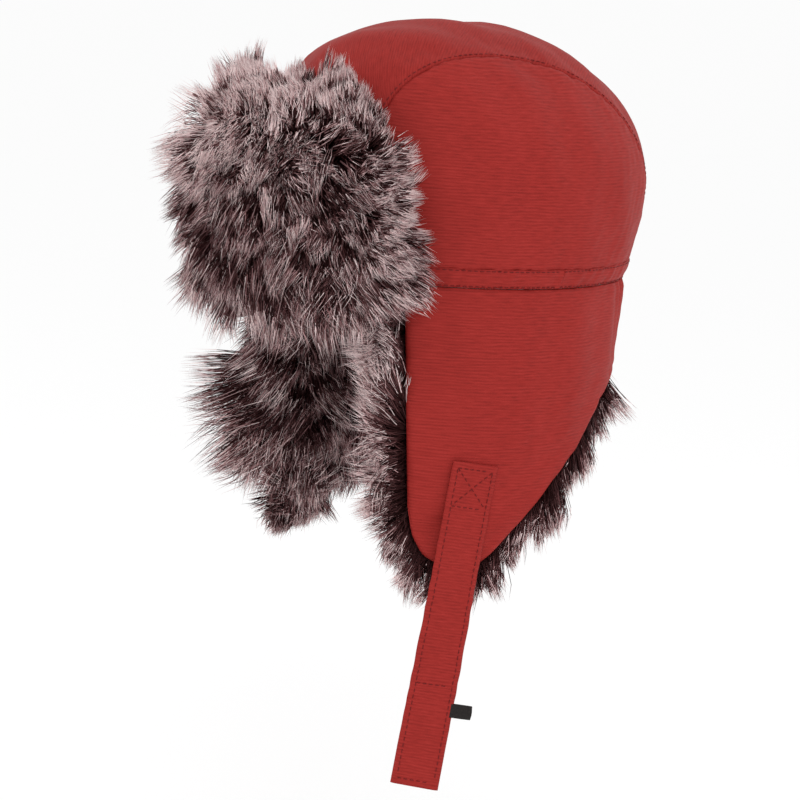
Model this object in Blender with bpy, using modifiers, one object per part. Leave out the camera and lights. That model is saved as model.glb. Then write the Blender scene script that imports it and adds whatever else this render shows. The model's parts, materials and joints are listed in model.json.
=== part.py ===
"""A trapper hat: nylon shell, wadding, lining and fur in separate layers. Metres, +Z up.

The origin is the centre of the head opening, on the lower edge of the base band. +X is the
wearer's left, -Y is the front. Every layer follows one of three surfaces: the crown (an ellipsoid,
fuller above its widest level), the skirt below the band (an elliptical tube), and the front flap
that stands before the crown.
A layer is an open grid laid on its surface and thickened away from it.
"""

import math

import bmesh
import bpy

# Driving dimensions of the crown, outside the shell.
HALF_WIDTH = 0.0925
HALF_LENGTH = 0.1185
WIDEST_Z = 0.050
RISE = 0.0862
DROP = 0.125
FRONT_FULLNESS = 3.0
BACK_FULLNESS = 1.9
BAND_HEIGHT = 0.0105
TOP_PANEL_END_HALF = 0.048
TOP_PANEL_SWELL = 0.0075
TOP_PANEL_SWAY = 0.0135

# The skirt: two ear flaps joined by the neck guard. Angles start at +X and grow towards the back.
SKIRT_TAPER = 0.10
SKIRT_DEPTH = 0.166
SKIRT_FLARE = math.tan(math.radians(7))
FLAP_FRONT = -51.5
FLAP_SLANT = 0.53
CREASE_BACK = 28.0
CREASE_TOP_Z = -0.0060
HEM = (
    (-51.5, -0.1210),
    (-50.5, -0.1335),
    (-48.5, -0.1422),
    (-42.7, -0.1512),
    (-35.2, -0.1545),
    (-27.4, -0.1502),
    (-14.2, -0.1310),
    (5.5, -0.1007),
    (15.6, -0.0876),
    (27.1, -0.0704),
    (38.0, -0.0618),
    (50.0, -0.0570),
    (90.0, -0.0530),
)

# The front flap.
FRONT_SPAN = 35.0
FRONT_LOW_Z = 0.004
FRONT_TOP_Z = 0.090
FRONT_STANDOFF = 0.0030
FRONT_UPRIGHT = 0.35
FRONT_HINGE_Y = -0.100

# Layers, counted inwards from the outer face of the shell.
SHELL = 0.0008
WADDING = 0.0040
FLAP_WADDING_AT = 0.0013
FLAP_FUR_AT = 0.0058
CROWN_WADDING_AT = 0.0024
LINING_AT = 0.0078
SWEATBAND_AT = 0.0092
SWEATBAND_HEIGHT = 0.030
SWEATBAND = 0.0010
ELASTIC_AT = 0.0015
ELASTIC = 0.0012
FUR = 0.020
CREASE_SPREAD = 0.07
SEAM_SPREAD = 0.2
FRONT_FUR = 0.030
GAP = 0.0003

# Where the ear flap's straight fold line lies: outside the widest point of the crease.
FOLD_X = 0.0893
FOLD_Y = HALF_LENGTH * math.sin(math.radians(FLAP_FRONT)) * math.sqrt(1 - (WIDEST_Z / DROP) ** 2)

# The chin strap, sewn to the left ear flap.
STRAP_WIDTH = 0.026
STRAP_THICK = 0.0022
STRAP_TOP_Z = -0.0942
STRAP_LENGTH = 0.181
STRAP_TILT = math.radians(8)
STRAP_ANGLE = -27.6
STRAP_TURN_Z = -0.1575
STRAP_TURN_GAP = 0.0015
HOOK_TAPE_LENGTH = 0.050
TAB_DOWN = 0.136
PATCH_THICK = 0.0012
PATCH_CLEAR = 0.0011

COLLECTION = "trapper_hat"


def clear_scene():
    for item in list(bpy.data.objects):
        bpy.data.objects.remove(item)


def material(name, colour, roughness):
    made = bpy.data.materials.new(name)
    made.use_nodes = True
    shader = made.node_tree.nodes["Principled BSDF"]
    shader.inputs["Base Color"].default_value = (*colour, 1.0)
    shader.inputs["Roughness"].default_value = roughness
    shader.inputs["Metallic"].default_value = 0.0
    return made


def girth(z):
    """How wide the crown is at height z, as a share of its widest."""
    reach = RISE if z > WIDEST_Z else DROP
    return math.sqrt(max(0.0, 1.0 - ((z - WIDEST_Z) / reach) ** 2))


def fullness(unit):
    """How far the crown stands out along a direction, as a share of the ellipsoid's radius."""
    x, y, z = unit
    if z <= 0:
        return 1.0
    power = FRONT_FULLNESS if y < 0 else BACK_FULLNESS
    ring = (abs(y) ** power + z**power) ** (1 / power)
    return 1 / math.hypot(x, ring)


def from_sphere(unit, inset):
    """A point of the unit sphere, laid on the crown's surface and moved inwards by inset."""
    x, y, z = [a * fullness(unit) for a in unit]
    reach = RISE if z > 0 else DROP
    return (
        (HALF_WIDTH - inset) * x,
        (HALF_LENGTH - inset) * y,
        WIDEST_Z + (reach - inset) * z,
    )


def crown_point(angle, z, inset):
    """The point of the crown's surface at a height up to its widest level, moved inwards by inset."""
    lift = (z - WIDEST_Z) / (DROP - inset)
    ring = math.sqrt(1.0 - lift * lift)
    return from_sphere((ring * math.cos(angle), ring * math.sin(angle), lift), inset)


def skirt_point(angle, z, inset):
    """The skirt narrows a little on its way down and leans out at the sides."""
    share = girth(0.0) * (1.0 - SKIRT_TAPER * (-z / SKIRT_DEPTH) ** 1.1)
    lean = SKIRT_FLARE * -z * math.cos(angle) * abs(math.cos(angle))
    return (
        (HALF_WIDTH * share - inset) * math.cos(angle) + lean,
        (HALF_LENGTH * share - inset) * math.sin(angle),
        z,
    )


def flap_angle(degrees, z):
    """The flap's front edge leans back on its way down; the lean fades out towards the crease's end."""
    share = (CREASE_BACK - min(degrees, 180 - degrees)) / (CREASE_BACK - FLAP_FRONT)
    lean = FLAP_SLANT * -z * max(0.0, share)
    angle = math.radians(degrees)
    return angle + lean if degrees < 90 else angle - lean


def front_point(angle, z, outset):
    """The front flap stands before the crown and stays more upright than it."""
    share = girth(z)
    if z > WIDEST_Z:
        share = 1.0 - FRONT_UPRIGHT * (1.0 - share)
    return (
        (HALF_WIDTH * share + FRONT_STANDOFF + outset) * math.cos(angle),
        (HALF_LENGTH * share + FRONT_STANDOFF + outset) * math.sin(angle),
        z,
    )


def hem_z(degrees):
    """The lower edge of the skirt on the left half, smoothed through the hem's points."""
    for (a0, z0), (a1, z1) in zip(HEM, HEM[1:]):
        if degrees <= a1:
            break
    index = HEM.index((a0, z0))
    before = HEM[max(index - 1, 0)]
    after = HEM[min(index + 2, len(HEM) - 1)]
    slope0 = (z1 - before[1]) / (a1 - before[0])
    slope1 = (after[1] - z0) / (after[0] - a0)
    span = a1 - a0
    t = min(max((degrees - a0) / span, 0.0), 1.0)
    return (
        z0 * (1 + 2 * t) * (1 - t) ** 2
        + z1 * t * t * (3 - 2 * t)
        + span * slope0 * t * (1 - t) ** 2
        - span * slope1 * t * t * (1 - t)
    )


def crease_z(degrees):
    """The fold line: straight, seen from the side, from the flap's front corner to the hem."""
    front_y = math.sin(math.radians(FLAP_FRONT))
    back_y = math.sin(math.radians(CREASE_BACK))
    t = (math.sin(math.radians(degrees)) - front_y) / (back_y - front_y)
    return CREASE_TOP_Z + (hem_z(CREASE_BACK) - CREASE_TOP_Z) * t


def grid(name, columns, rows, place, closed=False):
    """An open sheet of columns by rows faces, whose point (u, v) in 0..1 goes to place(u, v)."""
    mesh = bmesh.new()
    bmesh.ops.create_grid(mesh, x_segments=columns, y_segments=rows, size=0.5)
    for vertex in mesh.verts:
        vertex.co = place(vertex.co.x + 0.5, vertex.co.y + 0.5)
    if closed:
        bmesh.ops.remove_doubles(mesh, verts=mesh.verts, dist=0.00002)
        bmesh.ops.dissolve_degenerate(mesh, edges=mesh.edges, dist=0.00001)
    data = bpy.data.meshes.new(name)
    mesh.to_mesh(data)
    mesh.free()
    return data


def outward(data, centre):
    """Turns the sheet so that its faces look away from a point inside the hat."""
    total = 0.0
    for face in data.polygons:
        away = [a - b for a, b in zip(face.center, centre)]
        total += face.area * sum(a * b for a, b in zip(face.normal, away))
    if total < 0:
        data.flip_normals()
    return data


def add(name, data, look, parent=None, pivot=None):
    """Links a mesh made in world coordinates, with its origin on the pivot of its parent."""
    piece = bpy.data.objects.new(name, data)
    bpy.data.collections[COLLECTION].objects.link(piece)
    piece.data.materials.append(look)
    if pivot is not None:
        for vertex in data.vertices:
            vertex.co = [a - b for a, b in zip(vertex.co, pivot)]
        piece.parent = parent
    for polygon in data.polygons:
        polygon.use_smooth = True
    return piece


def thicken(piece, thickness, inwards=True):
    solid = piece.modifiers.new("thickness", "SOLIDIFY")
    solid.thickness = thickness
    solid.offset = -1.0 if inwards else 1.0
    solid.use_even_offset = False
    return piece


def pivot_at(name, place, parent=None, parent_at=(0.0, 0.0, 0.0)):
    """An empty on a joint's axis."""
    empty = bpy.data.objects.new(name, None)
    bpy.data.collections[COLLECTION].objects.link(empty)
    empty.empty_display_size = 0.02
    empty.parent = parent
    empty.location = [a - b for a, b in zip(place, parent_at)]
    return empty


def panel_half(v):
    """Half the top panel's width, from its front end at v = 0 to its back end at v = 1."""
    swell = TOP_PANEL_SWELL * math.sin(math.pi * v)
    return TOP_PANEL_END_HALF + swell - TOP_PANEL_SWAY * math.sin(2 * math.pi * v)


def panel_unit(across, v, low_z):
    """A point on the unit sphere: across is x as a share of the half width, v runs front to back."""
    x = across * panel_half(v) / HALF_WIDTH
    ring = math.sqrt(1.0 - x * x)
    below = math.asin((WIDEST_Z - low_z) / DROP / ring)
    angle = -below + v * (math.pi + 2 * below)
    return (x, -ring * math.cos(angle), ring * math.sin(angle))


def top_panel(name, inset, thickness, look):
    """The long panel over the crown, from the base band in front to the base band behind."""
    low = BAND_HEIGHT + GAP

    def place(u, v):
        return from_sphere(panel_unit(2 * u - 1, v, low), inset)

    data = outward(grid(name, 8, 20, place), (0, 0, 0.03))
    return thicken(add(name, data, look), thickness)


def side_panel(name, side, inset, thickness, look):
    """Between the base band and the long seam, a seam's gap away from the top panel."""
    low = BAND_HEIGHT + GAP
    apart = 1.0 + (2 * GAP + SEAM_SPREAD * thickness) / TOP_PANEL_END_HALF
    ends = [panel_unit(side * apart, v, low) for v in (0.0, 1.0)]
    first, last = [math.atan2(end[1], side * end[0]) for end in ends]
    drop = (low - WIDEST_Z) / DROP
    ring = math.sqrt(1.0 - drop * drop)

    def place(u, v):
        seam = panel_unit(side * apart, u, low)
        angle = first + (last - first) * u
        base = (side * ring * math.cos(angle), ring * math.sin(angle), drop)
        mixed = [a * v + b * (1 - v) for a, b in zip(seam, base)]
        size = math.sqrt(sum(a * a for a in mixed))
        return from_sphere([a / size for a in mixed], inset)

    data = outward(grid(name, 16, 6, place, closed=True), (0, 0, 0.03))
    return thicken(add(name, data, look), thickness)


def dome(name, inset, low_z, thickness, look):
    """The bowl of lining under the crown's wadding."""
    low = math.asin((low_z - WIDEST_Z) / (DROP - inset))

    def place(u, v):
        angle = 2 * math.pi * u
        lift = low + (math.pi / 2 - low) * v
        ring = math.cos(lift)
        return from_sphere(
            (ring * math.cos(angle), ring * math.sin(angle), math.sin(lift)), inset
        )

    data = outward(grid(name, 32, 11, place, closed=True), (0, 0, 0.03))
    return thicken(add(name, data, look), thickness)


def ring_strip(name, point, inset, low_z, high_z, thickness, look, span=(0.0, 360.0)):
    """A band round the hat, or along a part of it."""
    whole = span[1] - span[0] == 360.0
    columns = 32 if whole else 10

    def place(u, v):
        angle = math.radians(span[0] + (span[1] - span[0]) * u)
        return point(angle, low_z + (high_z - low_z) * v, inset)

    data = outward(grid(name, columns, 1, place, closed=whole), (0, 0, low_z))
    return thicken(add(name, data, look), thickness)


def neck_guard(name, inset, thickness, look):
    """The part of the skirt that stays put: behind and above the two fold lines."""
    apart = GAP + CREASE_SPREAD * thickness

    def place(u, v):
        degrees = FLAP_FRONT + (180 - 2 * FLAP_FRONT) * u
        near = min(degrees, 180 - degrees)
        low = crease_z(near) + apart if near < CREASE_BACK else hem_z(near)
        high = -GAP
        z = low + (high - low) * v
        return skirt_point(flap_angle(degrees, z), z, inset)

    data = outward(grid(name, 34, 3, place), (0, 0, -0.02))
    return thicken(add(name, data, look), thickness)


def ear_flap(name, side, inset, thickness, look, pivot, at):
    """The part of the skirt below the fold line, from the front edge to the hem behind the ear."""
    last = CREASE_BACK - 3.0
    apart = GAP + CREASE_SPREAD * thickness

    def place(u, v):
        degrees = FLAP_FRONT + (last - FLAP_FRONT) * u
        high = crease_z(degrees) - apart
        low = hem_z(degrees)
        z = low + (high - low) * v
        x, y, z = skirt_point(flap_angle(degrees, z), z, inset)
        return (side * x, y, z)

    data = outward(grid(name, 12, 6, place), (0, 0, -0.07))
    return thicken(add(name, data, look, pivot, at), thickness)


def front_flap(name, outset, thickness, look, pivot, at):
    def place(u, v):
        angle = math.radians(-90 + FRONT_SPAN * (2 * u - 1))
        z = FRONT_LOW_Z + (FRONT_TOP_Z - FRONT_LOW_Z) * v
        return front_point(angle, z, outset)

    data = outward(grid(name, 12, 5, place), (0, 0, 0.05))
    return thicken(add(name, data, look, pivot, at), thickness, inwards=False)


def block(name, centre, across, down, out, look, parent=None, at=None):
    """A flat rectangular piece: each of across, down and out is a unit vector and a size."""
    mesh = bmesh.new()
    bmesh.ops.create_cube(mesh, size=1.0)
    for vertex in mesh.verts:
        steps = [
            (vertex.co.x, across),
            (vertex.co.y, down),
            (vertex.co.z, out),
        ]
        vertex.co = [
            centre[i] + sum(t * size * way[i] for t, (way, size) in steps)
            for i in range(3)
        ]
    bmesh.ops.recalc_face_normals(mesh, faces=mesh.faces)
    data = bpy.data.meshes.new(name)
    mesh.to_mesh(data)
    mesh.free()
    piece = add(name, data, look, parent, at)
    for polygon in data.polygons:
        polygon.use_smooth = False
    return piece


def along(start, *steps):
    """A point reached from start by a number of (unit vector, distance) steps."""
    return tuple(start[i] + sum(way[i] * far for way, far in steps) for i in range(3))


def chin_strap(looks, flap_pivot, flap_at):
    """A strap of doubled nylon: its sewn end lies on the flap, its free end swings at the tip."""
    angle = math.radians(STRAP_ANGLE)
    top = skirt_point(angle, STRAP_TOP_Z, 0.0)
    low = skirt_point(angle, STRAP_TURN_Z, 0.0)
    flat = math.hypot(HALF_LENGTH * math.cos(angle), HALF_WIDTH * math.sin(angle))
    back = (-HALF_WIDTH * math.sin(angle) / flat, HALF_LENGTH * math.cos(angle) / flat, 0.0)
    lean = math.hypot(low[0] - top[0], low[2] - top[2])
    fall = ((low[0] - top[0]) / lean, 0.0, (low[2] - top[2]) / lean)
    down = [
        math.cos(STRAP_TILT) * f - math.sin(STRAP_TILT) * b for f, b in zip(fall, back)
    ]
    size = math.sqrt(sum(d * d for d in down))
    down = tuple(d / size for d in down)
    dot = sum(a * b for a, b in zip(back, down))
    across = [b - dot * d for b, d in zip(back, down)]
    size = math.sqrt(sum(a * a for a in across))
    across = tuple(a / size for a in across)
    out = (
        across[1] * down[2] - across[2] * down[1],
        across[2] * down[0] - across[0] * down[2],
        across[0] * down[1] - across[1] * down[0],
    )
    if out[0] < 0:
        out = tuple(-a for a in out)
    clear = 0.0016
    start = along(top, (out, clear + STRAP_THICK / 2))
    sewn = (start[2] - STRAP_TURN_Z) / -down[2]
    turn = along(start, (down, sewn))

    block(
        "chin_strap_sewn_end",
        along(start, (down, (sewn - STRAP_TURN_GAP) / 2)),
        (across, STRAP_WIDTH),
        (down, sewn - STRAP_TURN_GAP),
        (out, STRAP_THICK),
        looks["nylon"],
        flap_pivot,
        flap_at,
    )
    swing = pivot_at("chin_strap_swing_pivot", turn, flap_pivot, flap_at)
    free = STRAP_LENGTH - sewn
    block(
        "chin_strap",
        along(start, (down, sewn + (STRAP_TURN_GAP + free) / 2)),
        (across, STRAP_WIDTH),
        (down, free - STRAP_TURN_GAP),
        (out, STRAP_THICK),
        looks["nylon"],
        swing,
        turn,
    )
    tape_middle = STRAP_LENGTH - 0.006 - HOOK_TAPE_LENGTH / 2
    block(
        "strap_hook_tape",
        along(
            start,
            (down, tape_middle),
            (out, -(STRAP_THICK + PATCH_THICK) / 2 - GAP),
        ),
        (across, STRAP_WIDTH - 0.004),
        (down, HOOK_TAPE_LENGTH),
        (out, PATCH_THICK),
        looks["tape"],
        swing,
        turn,
    )
    block(
        "strap_flag_tab",
        along(
            start,
            (down, TAB_DOWN),
            (across, STRAP_WIDTH / 2 + 0.005 + GAP),
        ),
        (across, 0.010),
        (down, 0.0075),
        (out, 0.0014),
        looks["label"],
        swing,
        turn,
    )


def loop_patch(looks, flap_pivot, flap_at):
    """The soft tape on the right ear flap that takes the strap's end."""
    angle = math.radians(STRAP_ANGLE)
    top = skirt_point(angle, -0.088, 0.0)
    low = skirt_point(angle, -0.128, 0.0)
    size = math.dist(top, low)
    down = tuple((b - a) / size for a, b in zip(top, low))
    flat = math.hypot(HALF_LENGTH * math.cos(angle), HALF_WIDTH * math.sin(angle))
    back = (-HALF_WIDTH * math.sin(angle) / flat, HALF_LENGTH * math.cos(angle) / flat, 0.0)
    out = (
        back[1] * -down[2],
        back[2] * down[0] + back[0] * down[2],
        back[0] * down[1] - back[1] * down[0],
    )
    size = math.sqrt(sum(a * a for a in out))
    out = tuple(a / size * (1 if out[0] > 0 else -1) for a in out)
    middle = along(top, (down, 0.020), (out, 0.0014 + PATCH_THICK / 2))
    mirror = (-1, 1, 1)
    block(
        "right_flap_loop_tape",
        tuple(a * m for a, m in zip(middle, mirror)),
        (tuple(a * m for a, m in zip(back, mirror)), 0.022),
        (tuple(a * m for a, m in zip(down, mirror)), 0.040),
        (tuple(a * m for a, m in zip(out, mirror)), PATCH_THICK),
        looks["tape"],
        flap_pivot,
        flap_at,
    )


def front_fastener(looks, flap_pivot, flap_at):
    """A pair of small tapes that hold the front flap up against the crown."""
    z = WIDEST_Z
    crown_y = crown_point(-math.pi / 2, z, 0.0)[1]
    shell_y = front_point(-math.pi / 2, z, 0.0)[1]
    room = (crown_y - shell_y - 2 * PATCH_CLEAR - GAP) / 2
    for name, y, parent, at in (
        ("crown_loop_patch", crown_y - PATCH_CLEAR - room / 2, None, None),
        ("front_flap_hook_patch", shell_y + PATCH_CLEAR + room / 2, flap_pivot, flap_at),
    ):
        block(
            name,
            (0.0, y, z),
            ((1, 0, 0), 0.020),
            ((0, 0, 1), 0.012),
            ((0, 1, 0), room),
            looks["tape"],
            parent,
            at,
        )


def build():
    clear_scene()
    home = bpy.data.collections.new(COLLECTION)
    bpy.context.scene.collection.children.link(home)
    looks = {
        "nylon": material("red_nylon", (0.33, 0.027, 0.027), 0.55),
        "nylon_far": material("red_nylon_twill", (0.30, 0.022, 0.022), 0.55),
        "fur": material("grey_brown_fur", (0.16, 0.12, 0.11), 0.9),
        "wadding": material("white_wadding", (0.75, 0.74, 0.72), 0.95),
        "lining": material("black_lining", (0.02, 0.018, 0.02), 0.5),
        "elastic": material("white_elastic", (0.7, 0.7, 0.68), 0.8),
        "tape": material("dark_tape", (0.12, 0.012, 0.014), 0.85),
        "label": material("dark_label", (0.012, 0.010, 0.010), 0.6),
    }

    top_panel("crown_top_panel", 0.0, SHELL, looks["nylon_far"])
    top_panel("crown_top_wadding", CROWN_WADDING_AT, WADDING, looks["wadding"])
    for side, name in ((1, "left"), (-1, "right")):
        side_panel("crown_side_panel_" + name, side, 0.0, SHELL, looks["nylon"])
        side_panel(
            "crown_side_wadding_" + name, side, CROWN_WADDING_AT, WADDING, looks["wadding"]
        )
    dome("crown_lining", LINING_AT, GAP, SHELL, looks["lining"])
    ring_strip("base_band", crown_point, 0.0, GAP, BAND_HEIGHT, SHELL, looks["nylon"])
    ring_strip(
        "back_elastic",
        crown_point,
        ELASTIC_AT,
        0.0015,
        BAND_HEIGHT - 0.0015,
        ELASTIC,
        looks["elastic"],
        span=(40.0, 140.0),
    )
    ring_strip(
        "sweatband",
        crown_point,
        SWEATBAND_AT,
        GAP,
        SWEATBAND_HEIGHT,
        SWEATBAND,
        looks["lining"],
    )
    neck_guard("neck_guard_shell", 0.0, SHELL, looks["nylon"])
    neck_guard("neck_guard_wadding", FLAP_WADDING_AT, WADDING, looks["wadding"])
    neck_guard("neck_guard_fur", FLAP_FUR_AT, FUR, looks["fur"])

    fold_at = {}
    fold = {}
    for side, name in ((1, "left"), (-1, "right")):
        fold_at[name] = (side * FOLD_X, FOLD_Y, CREASE_TOP_Z)
        fold[name] = pivot_at(name + "_ear_flap_pivot", fold_at[name])
        place = (fold[name], fold_at[name])
        ear_flap(name + "_ear_flap_shell", side, 0.0, SHELL, looks["nylon"], *place)
        ear_flap(
            name + "_ear_flap_wadding",
            side,
            FLAP_WADDING_AT,
            WADDING,
            looks["wadding"],
            *place,
        )
        ear_flap(name + "_ear_flap_fur", side, FLAP_FUR_AT, FUR, looks["fur"], *place)

    front_at = (0.0, FRONT_HINGE_Y, 0.0)
    front = pivot_at("front_flap_pivot", front_at)
    front_flap("front_flap_shell", 0.0, SHELL, looks["nylon"], front, front_at)
    front_flap(
        "front_flap_wadding", SHELL + GAP, WADDING, looks["wadding"], front, front_at
    )
    front_flap(
        "front_flap_fur",
        SHELL + WADDING + 2 * GAP,
        FRONT_FUR,
        looks["fur"],
        front,
        front_at,
    )

    chin_strap(looks, fold["left"], fold_at["left"])
    loop_patch(looks, fold["right"], fold_at["right"])
    front_fastener(looks, front, front_at)
    bpy.context.view_layer.update()


build()
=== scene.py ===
"""The looks of the trapper hat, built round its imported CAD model. Metres, +Z up, -Y to the front.

Every layer of cloth is a closed sheet between two insets of one surface: the crown, the skirt of ear
flaps and neck guard, or the front flap. Fur is real geometry: tapered strands, gathered into tufts.
"""

import json
import math

import bpy
import numpy as np
from mathutils import Matrix, Vector


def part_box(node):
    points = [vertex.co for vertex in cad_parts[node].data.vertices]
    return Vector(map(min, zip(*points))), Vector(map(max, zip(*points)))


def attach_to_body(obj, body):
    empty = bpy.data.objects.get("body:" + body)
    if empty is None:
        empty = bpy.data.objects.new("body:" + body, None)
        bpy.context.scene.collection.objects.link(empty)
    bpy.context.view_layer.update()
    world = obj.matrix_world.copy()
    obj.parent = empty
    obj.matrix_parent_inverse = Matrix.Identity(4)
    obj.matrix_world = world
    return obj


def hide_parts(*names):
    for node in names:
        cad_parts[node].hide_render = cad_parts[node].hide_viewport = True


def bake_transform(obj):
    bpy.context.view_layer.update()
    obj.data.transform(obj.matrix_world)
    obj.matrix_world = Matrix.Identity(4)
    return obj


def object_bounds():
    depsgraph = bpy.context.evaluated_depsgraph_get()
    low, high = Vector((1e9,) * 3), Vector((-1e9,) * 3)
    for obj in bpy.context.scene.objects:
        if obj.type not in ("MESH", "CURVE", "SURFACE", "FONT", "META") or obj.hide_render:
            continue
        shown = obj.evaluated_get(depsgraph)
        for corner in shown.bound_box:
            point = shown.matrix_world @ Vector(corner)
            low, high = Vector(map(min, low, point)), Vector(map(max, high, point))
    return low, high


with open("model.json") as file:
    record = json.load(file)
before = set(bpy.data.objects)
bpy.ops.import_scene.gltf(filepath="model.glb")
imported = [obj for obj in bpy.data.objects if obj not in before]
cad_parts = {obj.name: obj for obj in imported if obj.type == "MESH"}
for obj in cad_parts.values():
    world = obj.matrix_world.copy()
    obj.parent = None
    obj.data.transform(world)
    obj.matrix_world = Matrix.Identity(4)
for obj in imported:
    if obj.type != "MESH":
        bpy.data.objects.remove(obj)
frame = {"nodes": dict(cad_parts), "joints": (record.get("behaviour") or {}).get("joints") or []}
cad_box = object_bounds()

# The crown: an ellipsoid, fuller above its widest level.
HALF_WIDTH = 0.0925
HALF_LENGTH = 0.1185
WIDEST_Z = 0.050
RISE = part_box("crown_top_panel")[1].z - WIDEST_Z
DROP = 0.125
FRONT_FULLNESS = 3.0
BACK_FULLNESS = 1.9
BAND_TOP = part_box("base_band")[1].z
TOP_PANEL_END_HALF = 0.048
TOP_PANEL_SWELL = 0.0075
TOP_PANEL_SWAY = 0.0135
TOP_PANEL_LENGTH = 0.40

# The skirt: ear flaps and neck guard. Angles start at +X and grow towards the back.
BAND_SHARE = math.sqrt(1 - (WIDEST_Z / DROP) ** 2)
SKIRT_TAPER = 0.10
SKIRT_DEPTH = 0.166
SKIRT_FLARE = math.tan(math.radians(7))
FLAP_FRONT = -51.5
FLAP_SLANT = 0.53
CREASE_BACK = 28.0
SKIRT_COLUMNS, SKIRT_ROWS = 150, 64
# The lower edge of one half: degrees and height.
HEM = [
    (-51.5, -0.1210),
    (-50.5, -0.1335),
    (-48.5, -0.1422),
    (-42.7, -0.1512),
    (-35.2, -0.1545),
    (-27.4, -0.1502),
    (-14.2, -0.1310),
    (5.5, -0.1007),
    (15.6, -0.0876),
    (27.1, -0.0704),
    (38.0, -0.0618),
    (50.0, -0.0570),
    (90.0, -0.0530),
]

# The front flap.
FRONT_SPAN = math.radians(35)
FRONT_LOW_Z = 0.004
FRONT_TOP_Z = 0.090
FRONT_STANDOFF = 0.0030
FRONT_UPRIGHT = 0.35
HINGE_HEIGHT = 0.007

# Thickness of the layers.
SHELL = 0.0008
WADDING = 0.0040
FUR_BASE = 0.011

# Fur: how far it may reach, as (axis, sign, limit), how wide a strand is, and at which shares of its
# length it starts, bends and ends.
FUR_LIMITS = ((0, 1, 0.1070), (0, -1, 0.1070), (1, -1, 0.1735), (1, 1, 0.1345))
HAIR_WIDTH = 0.00052
HAIR_STEPS = (0.0, 0.40, 0.75, 1.0)

# Cloth simulation: how much too large a panel is cut, its pressure, its frames and its scale.
PANEL_SLACK = 0.012
PANEL_PUFF = 0.6
SETTLE_FRAMES = 20
CLOTH_SCALE = 10.0

# Stitches and the strap.
STITCH = 0.0026
STITCH_GAP = 0.0009
THREAD = 0.00026
STRAP_WIDTH = 0.0264
STRAP_THICK = 0.0021
STRAP_TWIST = math.radians(20)
TAPE_LENGTH = 0.050

SIDES = ((1, "left"), (-1, "right"))
UP = np.array((0, 0, 1.0))
rng = np.random.default_rng(7)


# ---------------------------------------------------------------- surfaces


def fullness(unit):
    """How far the crown stands out along a direction, as a share of the ellipsoid's radius."""
    x, y, z = unit[..., 0], unit[..., 1], unit[..., 2]
    power = np.where(z > 0, np.where(y < 0, FRONT_FULLNESS, BACK_FULLNESS), 2.0)
    ring = (np.abs(y) ** power + np.abs(z) ** power) ** (1 / power)
    return 1 / np.hypot(x, ring)


def crown_from(unit, inset):
    """The crown's surface along a direction from its middle, moved inwards by inset."""
    unit = unit * fullness(unit)[..., None]
    reach = np.where(unit[..., 2] > 0, RISE, DROP)
    return np.stack(
        [
            (HALF_WIDTH - inset) * unit[..., 0],
            (HALF_LENGTH - inset) * unit[..., 1],
            WIDEST_Z + (reach - inset) * unit[..., 2],
        ],
        -1,
    )


def oval(half_width, half_length, angle, z):
    """Places on level ovals round the Z axis."""
    return np.stack([half_width * np.cos(angle), half_length * np.sin(angle), z], -1)


def crown_at(angle, z, inset):
    """The crown's surface at a height below its widest level."""
    lift = (z - WIDEST_Z) / (DROP - inset)
    ring = np.sqrt(1 - lift**2)
    return oval((HALF_WIDTH - inset) * ring, (HALF_LENGTH - inset) * ring, angle, z)


def skirt_at(angle, z, inset):
    """Below the band: the band's outline, a little narrower and flared as it goes down."""
    share = BAND_SHARE * (1.0 - SKIRT_TAPER * np.maximum(-z / SKIRT_DEPTH, 0) ** 1.1)
    place = oval(HALF_WIDTH * share - inset, HALF_LENGTH * share - inset, angle, z)
    place[..., 0] += SKIRT_FLARE * -z * np.cos(angle) * np.abs(np.cos(angle))
    return place


def hem_z(degrees):
    """The lower edge: a smooth curve through the hem's points."""
    a, z = np.array(HEM).T
    slope = np.gradient(z, a)
    i = np.clip(np.searchsorted(a, degrees, side="right") - 1, 0, len(a) - 2)
    span = a[i + 1] - a[i]
    t = np.clip((degrees - a[i]) / span, 0, 1)
    return (
        z[i] * (1 + 2 * t) * (1 - t) ** 2
        + z[i + 1] * t * t * (3 - 2 * t)
        + span * slope[i] * t * (1 - t) ** 2
        - span * slope[i + 1] * t * t * (1 - t)
    )


def flap_angle(degrees, z):
    """The skirt's angle at a height: the flap's front edge slants backwards as it goes down."""
    share = (CREASE_BACK - degrees) / (CREASE_BACK - FLAP_FRONT)
    return np.radians(degrees) + FLAP_SLANT * -z * np.maximum(0, share)


def front_at(angle, z, outset):
    """The front flap stands before the crown and stays more upright than it."""
    lift = np.clip((z - WIDEST_Z) / RISE, 0, 1)
    girth = np.where(
        z > WIDEST_Z,
        1 - FRONT_UPRIGHT * (1 - np.sqrt(1 - lift**2)),
        np.sqrt(1 - ((z - WIDEST_Z) / DROP) ** 2),
    )
    width = HALF_WIDTH * girth + FRONT_STANDOFF + outset
    length = HALF_LENGTH * girth + FRONT_STANDOFF + outset
    return oval(width, length, angle, z)


# ---------------------------------------------------------------- mesh helpers


def grid_of(a, b):
    """Two grids [columns, rows] from a row of values for each."""
    return np.meshgrid(a, b, indexing="ij")


def unit_rows(v):
    return v / np.maximum(np.linalg.norm(v, axis=-1, keepdims=True), 1e-12)


def grid_normals(p):
    """Normals of a grid of points [columns, rows]."""
    return unit_rows(np.cross(np.gradient(p, axis=0), np.gradient(p, axis=1)))


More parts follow.
